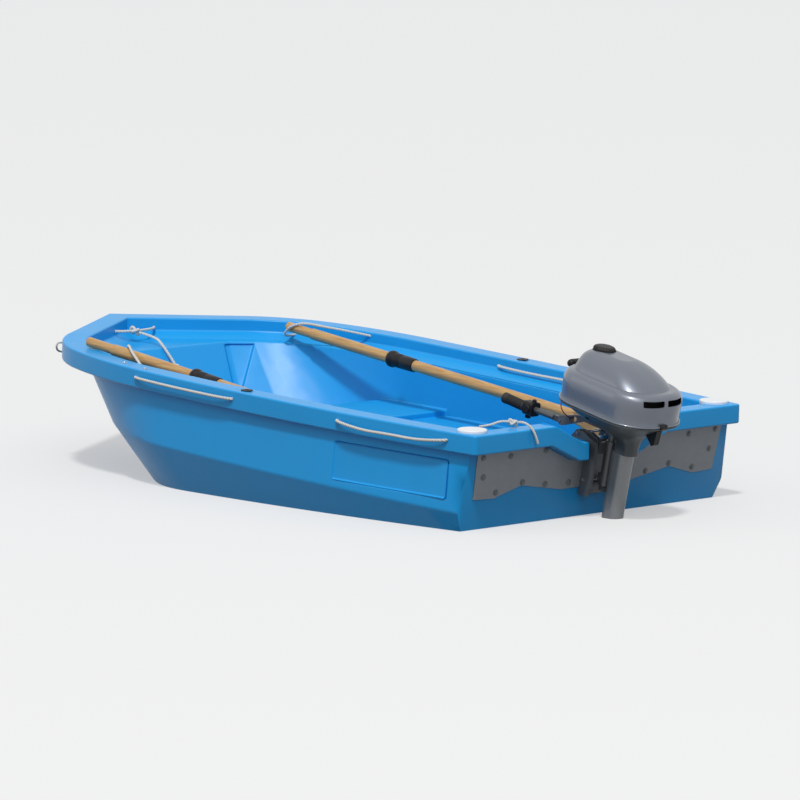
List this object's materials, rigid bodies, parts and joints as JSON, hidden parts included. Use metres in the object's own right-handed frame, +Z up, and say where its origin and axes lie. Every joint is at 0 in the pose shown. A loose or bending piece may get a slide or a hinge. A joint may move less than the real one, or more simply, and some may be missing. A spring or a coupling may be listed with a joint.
{
  "type": "small motor dinghy with tiller outboard",
  "caption": "Moulded plastic tender dinghy with a moulded cockpit, oars and grab ropes, driven by a small tiller outboard that tilts and steers on its clamp.",
  "frame": {"origin": "on the centreline, amidships, at the still waterline", "axes": "+X to the bow, +Y to port, +Z up; hull level as built"},
  "size_m": [2.6387, 1.3366, 0.926],
  "materials": {
    "hull": "moulded polyethylene, semi-gloss mid blue",
    "plate": "dull grey sheet",
    "white_cap": "white moulded caps",
    "bracket": "grey paint on cast aluminium",
    "steel": "stainless pins and screws",
    "leg_paint": "silver-grey paint",
    "prop_paint": "black paint",
    "cowl_silver": "silver metallic paint",
    "cowl_dark": "dark grey, semi-matt",
    "engine": "plain block standing for the engine",
    "black_plastic": "black moulded plastic",
    "black_paint": "black paint",
    "rubber": "ribbed black rubber",
    "timber": "varnished softwood",
    "rope": "white three-strand rope",
    "cord_red": "red cord of the engine's stop switch"
  },
  "bodies": {
    "hull": {"hull": "hull", "transom_plate": "plate", "inner_plate": "plate", "corner_caps": "white_cap", "rowlock_sockets": "black_plastic", "clamp_bracket": "bracket", "clamp_screws": "steel", "tilt_pin": "steel", "oar_port": "timber", "oar_collar_port": "black_plastic", "oar_starboard": "timber", "oar_collar_starboard": "black_plastic", "grab_line_fore": "rope", "grab_line_aft": "rope", "inner_line": "rope", "bow_line": "rope", "painter": "rope", "stern_line": "rope"},
    "swivel": {"swivel_bracket": "bracket"},
    "motor": {"steering_head": "bracket", "tiller_pin": "steel", "leg": "leg_paint", "gearcase": "leg_paint", "lower_cowl": "cowl_dark", "upper_cowl": "cowl_silver", "engine_block": "engine", "fuel_cap": "black_plastic", "starter_grip": "black_plastic", "carry_handle": "black_plastic", "stop_cord": "cord_red"},
    "propeller": {"propeller": "prop_paint"},
    "tiller": {"tiller_arm": "black_paint", "tiller_grip": "rubber", "throttle_box": "black_plastic"}
  },
  "joints": [
    {"name": "tilt", "type": "hinge", "parent": "hull", "child": "swivel", "pos_m": [-1.12406, 0, 0.30746], "axis": [0, 1, 0], "range_deg": [0, 50]},
    {"name": "steering", "type": "hinge", "parent": "swivel", "child": "motor", "pos_m": [-1.20727, 0, 0.29], "axis": [-0.1822, 0, 0.9833], "range_deg": [-40, 40]},
    {"name": "tiller_fold", "type": "hinge", "parent": "motor", "child": "tiller", "pos_m": [-0.98458, 0, 0.32314], "axis": [0, -1, 0], "range_deg": [0, 70]},
    {"name": "propeller_spin", "type": "hinge", "parent": "motor", "child": "propeller", "pos_m": [-1.16946, 0, -0.22676], "axis": [0.9833, 0, 0.1822], "continuous": true}
  ]
}
